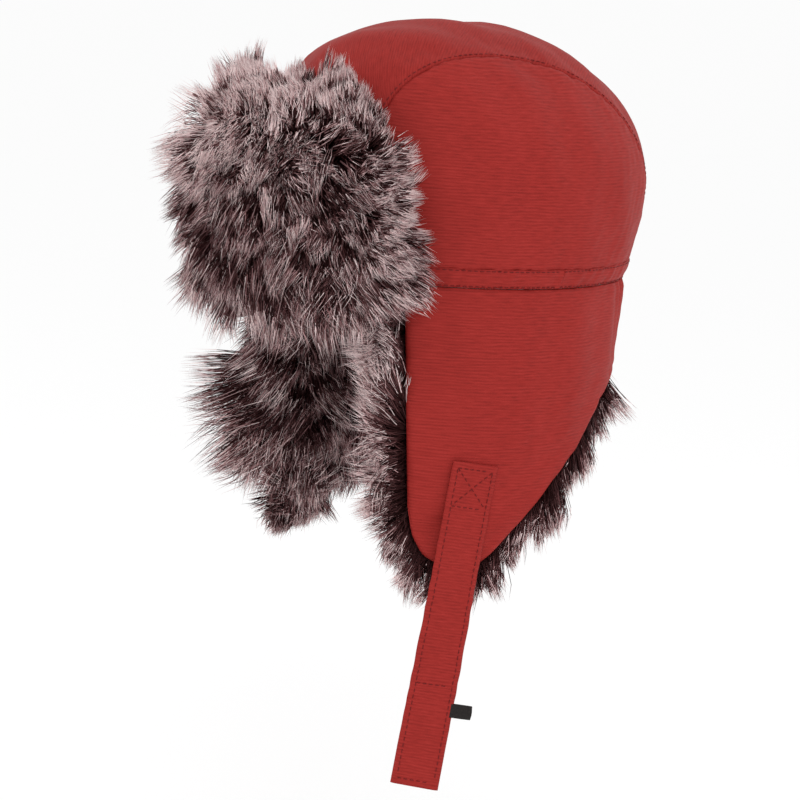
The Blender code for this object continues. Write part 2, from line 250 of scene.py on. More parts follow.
def make_mesh(name, points, faces, looks, tones=None, weave=None):
    """A new object. tones is each face's material, weave each point's place on the flat cloth."""
    mesh = bpy.data.meshes.new(name)
    loops = np.concatenate([f.ravel() for f in faces]).astype(np.int32)
    sizes = np.concatenate([np.full(len(f), f.shape[1], np.int32) for f in faces])
    mesh.vertices.add(len(points))
    mesh.vertices.foreach_set("co", np.asarray(points, np.float32).ravel())
    mesh.loops.add(len(loops))
    mesh.loops.foreach_set("vertex_index", loops)
    mesh.polygons.add(len(sizes))
    mesh.polygons.foreach_set("loop_start", np.concatenate([[0], np.cumsum(sizes)[:-1]]))
    mesh.polygons.foreach_set("loop_total", sizes)
    for look in looks:
        mesh.materials.append(look)
    if tones is not None:
        mesh.polygons.foreach_set("material_index", np.asarray(tones, np.int32))
    if weave is not None:
        mesh.attributes.new("weave", "FLOAT_VECTOR", "POINT")
        flat = np.zeros((len(points), 3), np.float32)
        flat[:, :2] = weave
        mesh.attributes["weave"].data.foreach_set("vector", flat.ravel())
    mesh.update(calc_edges=True)
    mesh.validate()
    mesh.polygons.foreach_set("use_smooth", np.ones(len(mesh.polygons), bool))
    piece = bpy.data.objects.new(name, mesh)
    bpy.context.scene.collection.objects.link(piece)
    return piece


def grid_faces(columns, rows, first=0, flip=False):
    """The quads of a grid whose points are numbered from first."""
    i, j = grid_of(np.arange(columns - 1), np.arange(rows - 1))
    a = first + i * rows + j
    quads = np.stack([a, a + rows, a + rows + 1, a + 1], -1).reshape(-1, 4)
    return quads[:, ::-1] if flip else quads


def tubes(rings, corners, ends, count):
    """The faces of count tubes: the sides, between rings of points, and then the ends."""
    r, c = np.divmod(np.arange((rings - 1) * corners), corners)
    low, after = r * corners, (c + 1) % corners
    sides = np.stack([low + c, low + after, low + corners + after, low + corners + c], -1)
    first = np.arange(count)[:, None, None] * (np.max(ends) + 1)
    return [(first + faces).reshape(-1, faces.shape[1]) for faces in (sides, np.array(ends))]


def closed_sheet(name, outer, inner, looks, weave=None):
    """A sheet between two grids of points of the same shape, closed round its four sides."""
    columns, rows = outer.shape[:2]
    count = columns * rows
    index = np.arange(count).reshape(columns, rows)
    rim = np.concatenate([index[:, 0], index[-1, 1:], index[-2::-1, -1], index[0, -2:0:-1]])
    after = np.roll(rim, -1)
    side = np.stack([rim, rim + count, after + count, after], -1)
    flip = (grid_normals(outer) * (outer - inner)).sum() < 0
    faces = [
        grid_faces(columns, rows, 0, flip),
        grid_faces(columns, rows, count, not flip),
        side[:, ::-1] if flip else side,
    ]
    points = np.concatenate([outer.reshape(-1, 3), inner.reshape(-1, 3)])
    if weave is not None:
        weave = np.concatenate([weave.reshape(-1, 2)] * 2)
    return make_mesh(name, points, faces, looks, weave=weave)


def edge_distance(points, edge):
    """How far each point is from a line of edge points."""
    flat = points.reshape(-1, 3)
    best = np.full(len(flat), np.inf)
    for start in range(0, len(flat), 4096):
        part = flat[start : start + 4096]
        gap = np.linalg.norm(part[:, None] - edge[None], axis=-1)
        best[start : start + 4096] = gap.min(1)
    return best.reshape(points.shape[:-1])


def waves(p, size, seed):
    """Smooth random waves over points, about -1 to 1, with a given size in metres."""
    count = 5
    turn = np.random.default_rng(seed)
    total = np.zeros(p.shape[:-1])
    for _ in range(count):
        way = unit_rows(turn.normal(size=3)) * turn.uniform(0.7, 1.6) * 2 * math.pi / size
        total += np.sin(p @ way + turn.uniform(0, 2 * math.pi))
    return total / math.sqrt(count)


def settled(points):
    """Cloth simulation of a panel held at its edges: cut a little too large, it puffs and creases.

    Returns how far each point moves along its normal. It runs on every other point, at ten times
    the size, where the solver's bending is steady, and is smoothed back to the full grid.
    """
    columns, rows = points.shape[:2]
    coarse = points[::2, ::2]
    outward = grid_normals(coarse)
    middle = np.array((0, 0, coarse[..., 2].mean()))
    turned = np.sign((outward * (coarse - middle)).sum())
    bent = coarse + outward * (0.0002 * waves(coarse, 0.012, 61))[..., None]
    mesh = bpy.data.meshes.new("settling")
    large = (bent * CLOTH_SCALE).reshape(-1, 3)
    mesh.from_pydata(large.tolist(), [], grid_faces(*coarse.shape[:2]).tolist())
    cloth = bpy.data.objects.new("settling", mesh)
    bpy.context.scene.collection.objects.link(cloth)
    held = np.zeros(coarse.shape[:2], bool)
    held[[0, -1]] = held[:, [0, -1]] = True
    group = cloth.vertex_groups.new(name="seams")
    group.add([int(i) for i in np.flatnonzero(held)], 1.0, "REPLACE")
    modifier = cloth.modifiers.new("cloth", "CLOTH")
    modifier.collision_settings.use_collision = False
    settings = modifier.settings
    settings.quality = 6
    settings.mass = 0.2
    settings.tension_stiffness = settings.compression_stiffness = 15
    settings.shear_stiffness = 5
    settings.bending_stiffness = 0.15
    settings.vertex_group_mass = "seams"
    settings.shrink_min = -PANEL_SLACK
    settings.use_pressure = True
    settings.uniform_pressure_force = PANEL_PUFF * turned
    settings.effector_weights.gravity = 0
    modifier.point_cache.frame_end = SETTLE_FRAMES
    for number in range(1, SETTLE_FRAMES + 1):
        bpy.context.scene.frame_set(number)
    graph = bpy.context.evaluated_depsgraph_get()
    result = cloth.evaluated_get(graph).to_mesh()
    place = np.empty(len(result.vertices) * 3)
    result.vertices.foreach_get("co", place)
    bpy.data.objects.remove(cloth)
    bpy.context.scene.frame_set(1)
    move = ((place.reshape(coarse.shape) / CLOTH_SCALE - coarse) * outward * turned).sum(-1)
    for size in (rows, columns):
        every, other = np.arange(size), np.arange(0, size, 2)
        move = np.stack([np.interp(every, other, line) for line in move]).T
    for _ in range(2):
        move[1:-1] = (move[:-2] + 2 * move[1:-1] + move[2:]) / 4
        move[:, 1:-1] = (move[:, :-2] + 2 * move[:, 1:-1] + move[:, 2:]) / 4
    return np.clip(move, -0.0006, 0.0045)


# ---------------------------------------------------------------- materials


def plain(name, colour, roughness, specular):
    """A material of one colour."""
    material = bpy.data.materials.new(name)
    material.use_nodes = True
    shader = material.node_tree.nodes["Principled BSDF"]
    shader.inputs["Base Color"].default_value = (*colour, 1)
    shader.inputs["Roughness"].default_value = roughness
    shader.inputs["Specular IOR Level"].default_value = specular
    return material


class Surface:
    """A plain material with short ways to add nodes to it."""

    def __init__(self, *look):
        self.material = plain(*look)
        self.nodes = self.material.node_tree.nodes
        self.links = self.material.node_tree.links
        self.sockets = self.nodes["Principled BSDF"].inputs

    def noise(self, vector, scale, detail, rough=0.55):
        texture = self.nodes.new("ShaderNodeTexNoise")
        texture.inputs["Scale"].default_value = scale
        texture.inputs["Detail"].default_value = detail
        texture.inputs["Roughness"].default_value = rough
        self.links.new(vector, texture.inputs["Vector"])
        return texture.outputs["Fac"]

    def math(self, kind, a, b):
        made = self.nodes.new("ShaderNodeMath")
        made.operation = kind
        for socket, value in zip(made.inputs, (a, b)):
            if isinstance(value, float):
                socket.default_value = value
            else:
                self.links.new(value, socket)
        return made.outputs[0]

    def stretched(self, vector, scale, turn=0.0):
        mapping = self.nodes.new("ShaderNodeMapping")
        mapping.inputs["Scale"].default_value = scale
        mapping.inputs["Rotation"].default_value = (0, 0, turn)
        self.links.new(vector, mapping.inputs["Vector"])
        return mapping.outputs["Vector"]

    def tint(self, value, stops):
        """Colours the surface by a value, through (place, colour) stops."""
        made = self.nodes.new("ShaderNodeValToRGB")
        while len(made.color_ramp.elements) < len(stops):
            made.color_ramp.elements.new(0.5)
        for element, (place, colour) in zip(made.color_ramp.elements, stops):
            element.position = place
            element.color = (*colour, 1)
        self.links.new(value, made.inputs["Fac"])
        self.links.new(made.outputs["Color"], self.sockets["Base Color"])

    def bump(self, height, strength, distance):
        made = self.nodes.new("ShaderNodeBump")
        made.inputs["Strength"].default_value = strength
        made.inputs["Distance"].default_value = distance
        self.links.new(height, made.inputs["Height"])
        self.links.new(made.outputs["Normal"], self.sockets["Normal"])


def nylon(name, colour, pitch=0.0017, turn=0.0):
    """Matt woven nylon: fine broken ribs across, a fine weave under them, and faint streaks."""
    made = Surface(name, colour, 0.62, 0.10)
    weave = made.nodes.new("ShaderNodeAttribute")
    weave.attribute_name = "weave"
    vector = made.stretched(weave.outputs["Vector"], (1, 1, 1), turn)
    split = made.nodes.new("ShaderNodeSeparateXYZ")
    made.links.new(vector, split.inputs["Vector"])
    drift = made.noise(made.stretched(vector, (45, 160, 1)), 1.0, 2)
    phase = made.math("MULTIPLY", split.outputs["Y"], 2 * math.pi / pitch)
    phase = made.math("ADD", phase, made.math("MULTIPLY", drift, 9.0))
    line = made.math("SINE", phase, 0.0)
    breaks = made.noise(made.stretched(vector, (140, 900, 1)), 1.0, 3, 0.65)
    cross = made.noise(made.stretched(vector, (1800, 1800, 1)), 1.0, 1)
    soft = made.noise(vector, 28.0, 2)
    rib = made.math("MULTIPLY", line, 0.065)
    rib = made.math("ADD", rib, made.math("MULTIPLY", breaks, 0.60))
    rib = made.math("ADD", rib, made.math("MULTIPLY", cross, 0.22))
    made.bump(rib, 0.55, 0.0005)
    dark = tuple(c * 0.72 for c in colour)
    light = tuple(min(1, c * 1.20 + 0.004) for c in colour)
    streak = made.math("ADD", rib, made.math("MULTIPLY", soft, 0.18))
    made.tint(streak, [(0.30, dark), (0.50, colour), (0.70, light)])
    return made.material


def mottled(name, dark, light, scale, roughness, bump_size=0.0004):
    """Two tones and a bump from one noise, for everything but the nylon and the strands."""
    made = Surface(name, dark, roughness, 0.2)
    place = made.nodes.new("ShaderNodeTexCoord").outputs["Object"]
    value = made.noise(place, scale, 4, 0.65)
    made.tint(value, [(0.35, dark), (0.68, light)])
    made.bump(value, 0.6, bump_size)
    return made.material


RED = (0.315, 0.0225, 0.0185)
FUR_TONES = [
    (0.009, 0.0020, 0.0020),
    (0.026, 0.0080, 0.0080),
    (0.066, 0.0245, 0.0250),
    (0.140, 0.0600, 0.0610),
    (0.34, 0.178, 0.180),
    (0.70, 0.460, 0.460),
    (1.00, 0.810, 0.800),
]
looks = {
    "nylon": nylon("red_nylon", RED),
    "twill": nylon("red_nylon_bias", tuple(c * 0.95 for c in RED), 0.0012, math.radians(52)),
    "thread": mottled("red_thread", (0.13, 0.009, 0.009), (0.20, 0.014, 0.014), 2500, 0.7),
    "wadding": mottled("white_wadding", (0.55, 0.54, 0.52), (0.85, 0.84, 0.82), 260, 0.95),
    "lining": mottled("black_lining", (0.010, 0.009, 0.010), (0.022, 0.020, 0.022), 900, 0.42),
    "elastic": mottled("white_elastic", (0.45, 0.45, 0.43), (0.78, 0.78, 0.75), 700, 0.8),
    "tape": mottled("dark_red_tape", (0.045, 0.004, 0.005), (0.17, 0.018, 0.02), 1800, 0.9),
    "label": mottled("dark_label", (0.008, 0.006, 0.006), (0.022, 0.017, 0.016), 1500, 0.6),
    "backing": mottled("fur_backing", (0.012, 0.006, 0.006), (0.075, 0.038, 0.038), 420, 0.95, 0.002),
    "fur": [plain(f"fur_tone_{i}", c, 0.6, 0.05) for i, c in enumerate(FUR_TONES)],
}


# ---------------------------------------------------------------- crown


def panel_unit(across, v, low_z):
    """A direction from the crown's middle: across is a share of the top panel's half width."""
    half = TOP_PANEL_END_HALF + TOP_PANEL_SWELL * np.sin(math.pi * v)
    half = half - TOP_PANEL_SWAY * np.sin(2 * math.pi * v)
    x = across * half / HALF_WIDTH
    ring = np.sqrt(1 - x * x)
    below = np.arcsin((WIDEST_Z - low_z) / DROP / ring)
    angle = -below + v * (math.pi + 2 * below)
    return np.stack([x, -ring * np.cos(angle), ring * np.sin(angle)], -1)


def tuck(distance, width, depth):
    """How deep a sewn or turned edge sinks, from its distance to the edge."""
    t = np.clip(1 - distance / width, 0, 1)
    return depth * (1 - np.sqrt(1 - t**2 * 0.96))


def crown_sheet(name, unit, seam, band_line, look, weave):
    """A crown panel: it puffs between its seams, puckers beside them and dips into them."""
    flat = crown_from(unit, 0.0)
    distance = edge_distance(flat, seam)
    above = edge_distance(flat, band_line)
    inside = np.clip(np.minimum(distance, above) / 0.012, 0, 1)
    near_seam = np.exp(-distance / 0.005) + 0.5 * np.exp(-above / 0.004)
    puff = settled(flat)
    soft = 0.0005 * waves(flat, 0.045, 3) * inside
    pucker = 0.00045 * waves(flat * (1, 1, 1.6), 0.010, 4) * near_seam
    dips = tuck(distance, 0.0026, 0.0011) + tuck(above, 0.0030, 0.0005)
    sink = dips + 0.0008 * inside - soft - pucker - puff
    outer = crown_from(unit, sink)
    inner = crown_from(unit, sink + SHELL)
    return closed_sheet(name, outer, inner, [look], weave)


def crown_panels():
    """The top panel on the bias, and a panel at each side of it."""
    low = BAND_TOP - 0.0006
    v = np.linspace(0, 1, 181)
    lines = {side: crown_from(panel_unit(side * np.ones_like(v), v, low), 0.0) for side in (1, -1)}
    u, w = grid_of(np.linspace(-0.9995, 0.9995, 61), v)
    unit = panel_unit(u, w, low)
    cloth = np.stack([u * TOP_PANEL_END_HALF, w * TOP_PANEL_LENGTH], -1)
    ring = np.linspace(0, 2 * math.pi, 400)
    band_line = crown_at(ring, np.full_like(ring, low), 0.0)
    seams = np.concatenate([lines[1], lines[-1]])
    panel = crown_sheet("crown_top_panel_cloth", unit, seams, band_line, looks["twill"], cloth)
    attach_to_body(panel, "crown")
    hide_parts("crown_top_panel")
    for side, word in SIDES:
        edge = panel_unit(side * 1.0005 * np.ones_like(v), v, low)
        first, last = [math.atan2(edge[i, 1], side * edge[i, 0]) for i in (0, -1)]
        drop = (low - WIDEST_Z) / DROP
        ring = math.sqrt(1 - drop * drop)
        angle = first + (last - first) * v
        base = oval(side * ring, ring, angle, np.full_like(v, drop))
        t = np.linspace(0, 1, 61)[None, :, None]
        unit = unit_rows(edge[:, None] * t + base[:, None] * (1 - t))
        cloth = crown_from(unit, 0.0)[..., 1:]
        name = f"crown_side_{word}_cloth"
        panel = crown_sheet(name, unit, lines[side], band_line, looks["nylon"], cloth)
        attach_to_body(panel, "crown")
        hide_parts(f"crown_side_panel_{word}")


def dome(name, inset, low_z, thickness, look, quilt=0.0):
    """A layer inside the crown, in one piece. quilt is how far it puffs between its crossed seams."""
    angle = np.linspace(0, 2 * math.pi, 145)
    start = math.asin((low_z - WIDEST_Z) / (DROP - inset))
    lift = np.linspace(start, math.pi / 2 - 0.004, 60)
    a, b = grid_of(angle, lift)
    unit = np.stack([np.cos(b) * np.cos(a), np.cos(b) * np.sin(a), np.sin(b)], -1)
    outer = crown_from(unit, inset)
    x, y = outer[..., 0] * 110, outer[..., 1] * 110
    puff = quilt * np.sqrt(np.abs(np.sin(x + y)) * np.abs(np.sin(x - y)))
    inner = crown_from(unit, inset + thickness + puff)
    piece = closed_sheet(name, outer, inner, [look])
    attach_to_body(piece, "crown")
    return piece


def band_ripple(angle, z):
    """The channel swells between its two stitch lines, and gathers where the elastic pulls."""
    t = np.clip(z / BAND_TOP, 0, 1)
    uneven = waves(np.stack([angle * 0.1, z, z], -1), 0.009, 71)
    swell = 0.0007 * np.sin(math.pi * t) ** 0.7 + 0.0003 * uneven
    back = np.exp(-(((angle - math.pi / 2) / math.radians(55)) ** 4))
    gather = 0.0007 * np.sin(angle * 46 + 1.3 * np.sin(angle * 9)) * back * np.sin(math.pi * t)
    return swell + gather


def base_band():
    degrees, levels = np.linspace(0, 360, 793), np.linspace(0.0002, BAND_TOP, 9)
    a, b = grid_of(np.radians(degrees), levels)
    ripple = band_ripple(a, b)
    outer, inner = [crown_at(a, b, inset - ripple) for inset in (0.0, SHELL)]
    cloth = np.stack([a * 0.1, b], -1)
    band = closed_sheet("base_band_cloth", outer, inner, [looks["nylon"]], cloth)
    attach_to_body(band, "crown")
    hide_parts("base_band")


# ---------------------------------------------------------------- skirt


def skirt_grid(side, inset):
    """One half of the skirt, from the flap's front edge to the middle of the back."""
    u = np.linspace(0, 1, SKIRT_COLUMNS) ** 1.15
    degrees = FLAP_FRONT + (90 - FLAP_FRONT) * u
    v = np.linspace(0, 1, SKIRT_ROWS)
    d, w = grid_of(degrees, v)
    z = hem_z(d) * (1 - w) - 0.0002 * w
    p = skirt_at(flap_angle(d, z), z, inset)
    p[..., 0] *= side
    cloth = np.stack([p[..., 1] - np.abs(p[..., 0]) * 0.4, z], -1)
    return p, cloth


def skirt_edge(side):
    """The points of the flap's front edge and of the hem."""
    grid, _ = skirt_grid(side, 0.0)
    return np.concatenate([grid[0], grid[1:, 0]])


FOLD = next(j for j in frame["joints"] if j["name"] == "left_ear_flap_fold")
FOLD_POINT = np.array(FOLD["pos_m"])
# Across the fold line, down the cloth.
FOLD_DOWN = unit_rows(np.array((0.0, FOLD["axis"][2], -FOLD["axis"][1])))
FOLD_DOWN = FOLD_DOWN * -np.sign(FOLD_DOWN[2])
FOLD_START, FOLD_END = -0.007, 0.012
FLAP_BODY = {1: "left_ear_flap", -1: "right_ear_flap"}


def fold_blend(piece):
    """Applies a piece of the skirt's transform to its mesh."""
    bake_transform(piece)


def skirt_layer(name, side, insets, slot_name, nodes, roll):
    """A layer of one half of the skirt. roll is how fully its edge turns in."""
    flat, cloth = skirt_grid(side, 0.0)
    distance = edge_distance(flat, skirt_edge(side))
    below = np.clip(-flat[..., 2] / 0.010, 0, 1) * np.clip(distance / 0.02, 0, 1)
    folds = 0.0006 * waves(flat * (1, 1, 0.35), 0.05, 11) * below
    if slot_name == "nylon":
        folds = folds + settled(flat) - 0.0008 * below
    back = np.clip((flat[..., 1] - 0.045) / 0.03, 0, 1) * np.exp(flat[..., 2] / 0.03)
    gather = 0.0010 * back * np.sin(cloth[..., 0] * 560 + 2 * np.sin(cloth[..., 0] * 130))
    sink = tuck(distance, 0.0050, 0.0040) * roll - folds - gather * roll
    top = tuck(-flat[..., 2], 0.0025, 0.0006) * roll
    angle = np.arctan2(flat[..., 1] / HALF_LENGTH, np.abs(flat[..., 0]) / HALF_WIDTH)
    away = np.stack([side * np.cos(angle), np.sin(angle), np.zeros_like(angle)], -1)
    outer, inner = [flat - away * (inset + sink + top)[..., None] for inset in insets]
    if slot_name == "wadding":
        outer, inner, cloth = [grid[3:, 3:] for grid in (outer, inner, cloth)]
    piece = closed_sheet(name, outer, inner, [looks[slot_name]], cloth)
    fold_blend(piece)
    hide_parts(*nodes)
    return piece


# ---------------------------------------------------------------- fur


def sample_grid(p, count, outward, weight):
    """Random places on a grid, even by area times weight: positions, normals and grid coordinates."""
    a, b, c, d = p[:-1, :-1], p[1:, :-1], p[1:, 1:], p[:-1, 1:]
    area = np.linalg.norm(np.cross(c - a, d - b), axis=-1) * weight[:-1, :-1]
    chosen = rng.choice(area.size, count, p=(area / area.sum()).ravel())
    i, j = np.unravel_index(chosen, area.shape)
    s, t = rng.random(count)[:, None], rng.random(count)[:, None]
    spot = (a[i, j] * (1 - s) + b[i, j] * s) * (1 - t) + (d[i, j] * (1 - s) + c[i, j] * s) * t
    normal = grid_normals(p)[i, j]
    sign = np.sign((normal * outward[i, j]).sum(-1, keepdims=True))
    return spot, normal * sign, i, j


def nearest(points, centres):
    """The number of the centre that is nearest to each point."""
    best = np.zeros(len(points), int)
    for start in range(0, len(points), 2048):
        part = points[start : start + 2048]
        best[start : start + 2048] = ((part[:, None] - centres[None]) ** 2).sum(-1).argmin(1)
    return best


def tangent(direction, normal):
    """The directions laid flat on the surface."""
    return unit_rows(direction - normal * (direction * normal).sum(-1, keepdims=True))


def spin(vector, axis, angle):
    """Turns vectors about unit axes."""
    c, s = np.cos(angle)[:, None], np.sin(angle)[:, None]
    along = axis * (vector * axis).sum(-1, keepdims=True)
    return vector * c + np.cross(axis, vector) * s + along * (1 - c)


def swirled(comb, root, normal, size, seed):
    """The comb directions with slow random turns, laid flat on the surface."""
    swirl = np.stack([waves(root, size, seed + k) for k in range(3)], -1)
    return tangent(comb + 0.18 * swirl, normal)


def strand_paths(root, normal, comb, length, lean0, lean1):
    """Three straight runs from each root, leaning from the normal towards the comb direction."""
    path = [root]
    for start, end in zip(HAIR_STEPS, HAIR_STEPS[1:]):
        lean = lean0 + (lean1 - lean0) * (start + end) / 2
        way = normal * np.cos(lean)[:, None] + comb * np.sin(lean)[:, None]
        path.append(path[-1] + way * length[:, None] * (end - start))
    return np.stack(path, 1)


def combed(table, across, up, reach):
    """Reads a comb table between its places: columns 0 and 1 are the place, the rest is blended."""
    table = np.array(table)
    gap = ((across[:, None] - table[:, 0]) / reach[0]) ** 2
    gap = gap + ((up[:, None] - table[:, 1]) / reach[1]) ** 2
    share = np.exp(-gap) + 1e-9
    return ((share / share.sum(1, keepdims=True)) @ table[:, 2:]).T


def fur(name, root, normal, comb, length, lean, tufts, pull, light, roots=0.0):
    """A piece of fur: one strand from each root.

    lean is each strand's angle from the normal at its two ends, tufts how many tufts they gather into,
    pull how tightly, light each strand's brightness from 0 to 1, which carries painted light and shade,
    and roots how many tones paler than usual a strand starts.
    """
    count = len(root)
    centre = rng.choice(count, tufts, replace=False)
    own = nearest(root, root[centre])
    tuft_turn = rng.normal(0, 0.34, tufts)[own]
    tuft_long = rng.uniform(0.72, 1.24, tufts)[own]
    tuft_lean = rng.normal(0, 0.16, tufts)[own]
    tuft_light = rng.normal(0, 0.27, tufts)[own]
    comb = spin(comb, normal, tuft_turn + rng.normal(0, 0.18, count))
    length = length * tuft_long * rng.uniform(0.72, 1.10, count)
    lean0 = np.clip(lean[:, 0] + tuft_lean + rng.normal(0, 0.10, count), 0.05, 2.6)
    lean1 = np.clip(lean[:, 1] + tuft_lean + rng.normal(0, 0.12, count), 0.15, 2.8)
    path = strand_paths(root, normal, comb, length, lean0, lean1)
    heart = path[centre][own]
    step = np.array(HAIR_STEPS)[None, :, None]
    hold = pull * rng.uniform(0.7, 1.15, count)[:, None, None] * step**1.4
    path = path + (heart - path) * np.clip(hold, 0, 0.97)
    path[:, 1:] += rng.normal(0, 0.0007, (count, 3, 3)) * step[:, 1:]
    for axis, sign, limit in FUR_LIMITS:
        over = np.maximum(path[..., axis] * sign - limit + 0.010, 0)
        path[..., axis] -= sign * (over - 0.010 * np.tanh(over / 0.010))
    # Three-sided tubes that taper to a point.
    ways = unit_rows(np.diff(path, axis=1))
    side = unit_rows(np.cross(ways, normal[:, None] + 1e-6))
    up = np.cross(side, ways)
    thick = HAIR_WIDTH * rng.uniform(0.75, 1.3, count)[:, None]
    points = np.empty((count, 10, 3))
    for ring, taper in enumerate((1.0, 0.9, 0.75)):
        for corner in range(3):
            turn = 2 * math.pi * corner / 3
            offset = side[:, ring] * math.cos(turn) + up[:, ring] * math.sin(turn)
            points[:, ring * 3 + corner] = path[:, ring] + offset * thick * taper / 2
    points[:, 9] = path[:, 3]
    faces = tubes(3, 3, [(6, 7, 9), (7, 8, 9), (8, 6, 9), (2, 1, 0)], count)
    bright = np.clip(light + 0.8 * tuft_light + rng.normal(0, 0.22, count), 0, 1)
    # About one strand in seven is painted pale along its middle and tip: painted highlight streaks.
    streak = rng.random(count) < 0.14
    # The roots are painted darker than the middles and tips: the fur's dark roots, deepened as painted
    # shade in the pile.
    tone = np.stack(
        [
            1.1 * bright - 0.4 + roots,
            0.3 + 2.9 * bright + 2.6 * streak,
            1.3 + 4.4 * bright + 2.2 * (rng.random(count) < 0.30) + 2.4 * streak,
        ],
        1,
    ) + rng.normal(0, 0.35, (count, 3))
    tone = np.clip(np.round(tone), 0, len(FUR_TONES) - 1).astype(int)
    # A tone for each face, in the order of the faces: the sides of every strand, and then the ends.
    tones = np.concatenate([tone[:, [0, 0, 0, 1, 1, 1]].ravel(), tone[:, [2, 2, 2, 0]].ravel()])
    return make_mesh(name, points.reshape(-1, 3), faces, looks["fur"], tones)


# How the front flap's fur lies, from the photograph. Each row is a place: across from the far side (-1)
# to the near side (1), and up from 0 to 1. Then how the fur is combed there, to the near side and up,
# how far it leans over, its length in millimetres and its brightness. The brightness is the fur's own
# tone with painted light and shade in it, such as the paler rows along the top.
FRONT_COMB = [
    (-1.0, 1.00, -0.10, 1.00, 0.52, 43, 0.68),
    (-1.0, 0.58, -0.60, -0.60, 0.40, 47, 0.60),
    (-1.0, 0.28, -0.50, -0.70, 0.35, 29, 0.30),
    (-1.0, 0.00, -0.20, -1.00, 0.12, 55, 0.52),
    (-0.5, 1.00, -0.10, 1.00, 0.14, 18, 0.84),
    (-0.5, 0.70, 0.50, -0.75, 1.05, 34, 0.96),
    (-0.5, 0.35, 0.25, -0.95, 1.00, 34, 0.36),
    (-0.5, 0.00, -0.35, -1.00, 1.25, 45, 0.56),
    (0.0, 1.00, 0.00, 1.00, 0.16, 17, 0.84),
    (0.0, 0.65, 0.35, -0.90, 0.95, 34, 0.66),
    (0.0, 0.30, -0.10, -1.00, 0.95, 34, 0.14),
    (0.0, 0.00, -0.25, -1.00, 1.35, 48, 0.62),
    (0.5, 1.00, 0.00, 0.95, 0.36, 27, 0.82),
    (0.5, 0.65, 0.70, -0.45, 0.75, 30, 0.32),
    (0.5, 0.30, 0.10, -1.00, 0.90, 34, 0.24),
    (0.5, 0.00, 0.05, -1.00, 1.35, 48, 0.66),
    (1.0, 1.00, -0.20, 0.30, 0.40, 26, 0.50),
    (1.0, 0.60, 0.90, 0.35, 0.45, 26, 0.64),
    (1.0, 0.35, 0.60, -0.10, 0.30, 26, 0.38),
    (1.0, 0.14, 0.95, 0.15, 0.85, 28, 0.92),
    (1.0, 0.00, 0.05, -1.00, 1.15, 34, 0.42),
]


FRONT_REACH = (0.28, 0.17)
FRONT_PIECES = 4
FRONT_STRANDS = 11500
FRONT_TUFTS = 230
FRONT_PULL = 0.66


def front_flap():
    """Nylon back, wadding, the cloth it hangs from, and the long fur of the front flap."""
    u = np.linspace(-1, 1, 121)
    v = np.linspace(0, 1, 61)
    a, w = grid_of(u, v)
    corner = 1 - 0.16 * np.abs(a) ** 6
    angle = -math.pi / 2 + FRONT_SPAN * a * (1 - 0.16 * w**2)
    z = FRONT_LOW_Z + (FRONT_TOP_Z - FRONT_LOW_Z) * w * corner
    face = front_at(angle, z, 0.0)
    edge = np.concatenate([face[0], face[-1], face[:, -1]])
    distance = edge_distance(face, edge)
    away = unit_rows(front_at(angle, z, 0.01) - face)
    cloth = np.stack([angle * 0.12, z], -1)
    curl = 0.003 * np.clip(1 - distance / 0.015, 0, 1) ** 2
    fill = WADDING * np.sqrt(np.clip((distance - 0.001) / 0.010, 0.02, 1))
    for name, near, far, slot_name, node in (
        ("front_flap_back_cloth", 0.0, SHELL, "nylon", "front_flap_shell"),
        ("front_flap_padding", SHELL + 0.0002, SHELL + fill, "wadding", "front_flap_wadding"),
    ):
        inside = (slice(5, -5), slice(3, -4)) if slot_name == "wadding" else ()
        outer, inner = [(face + away * (h + curl)[..., None])[inside] for h in (near, far)]
        piece = closed_sheet(name, outer, inner, [looks[slot_name]], cloth[inside])
        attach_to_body(piece, "front_flap")
        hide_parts(node)
    # The strip of cloth that the flap hangs from.
    angle, rise = grid_of(-math.pi / 2 + FRONT_SPAN * u * 0.99, v[::4])
    outset = (0.0007 - FRONT_STANDOFF) * (1 - rise)
    strip = front_at(angle, HINGE_HEIGHT * rise, outset)
    weave = np.stack([angle * 0.12, HINGE_HEIGHT * rise], -1)
    out = front_at(angle, HINGE_HEIGHT * rise, outset + 0.0005)
    hinge = closed_sheet("front_flap_hinge_cloth", strip, out, [looks["nylon"]], weave)
    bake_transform(hinge)
    lump = 0.0010 * waves(face, 0.02, 21)
    rise = 1 - (1 - np.clip(distance / 0.030, 0, 1)) ** 2
    thick = 0.0012 + 0.0038 * np.clip(distance / 0.006, 0, 1) + FUR_BASE * rise
    thick = thick + lump * np.clip(distance / 0.010, 0, 1)
    skin = face + away * (SHELL + fill + 0.0003 + thick + curl)[..., None]
    under = face + away * (SHELL + fill + 0.0003 + curl)[..., None]
    backing = closed_sheet("front_flap_fur_backing", under, skin, [looks["backing"]])
    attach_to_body(backing, "front_flap")
    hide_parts("front_flap_fur")
    denser = 1 + 0.8 * np.exp(-distance / 0.008)
    for number in range(FRONT_PIECES):
        root, normal, i, j = sample_grid(skin, FRONT_STRANDS, away, denser)
        side, up, lean, length, light = combed(FRONT_COMB, a[i, j], w[i, j], FRONT_REACH)
        beside = unit_rows(np.cross(UP, normal))
        comb = beside * side[:, None] + UP * up[:, None]
        comb = swirled(comb, root, normal, 0.055, 31)
        lean = lean + 0.12 * waves(root, 0.035, 36)
        lean = np.stack([0.50 * lean, 1.35 * lean], -1)
        length = length / 1000 + 0.003 * waves(root, 0.03, 34)
        light = light + 0.19 * waves(root, 0.032, 35)
        name = f"front_flap_fur_{number + 1}"
        piece = fur(name, root, normal, comb, length, lean, FRONT_TUFTS, FRONT_PULL, light)
        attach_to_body(piece, "front_flap")
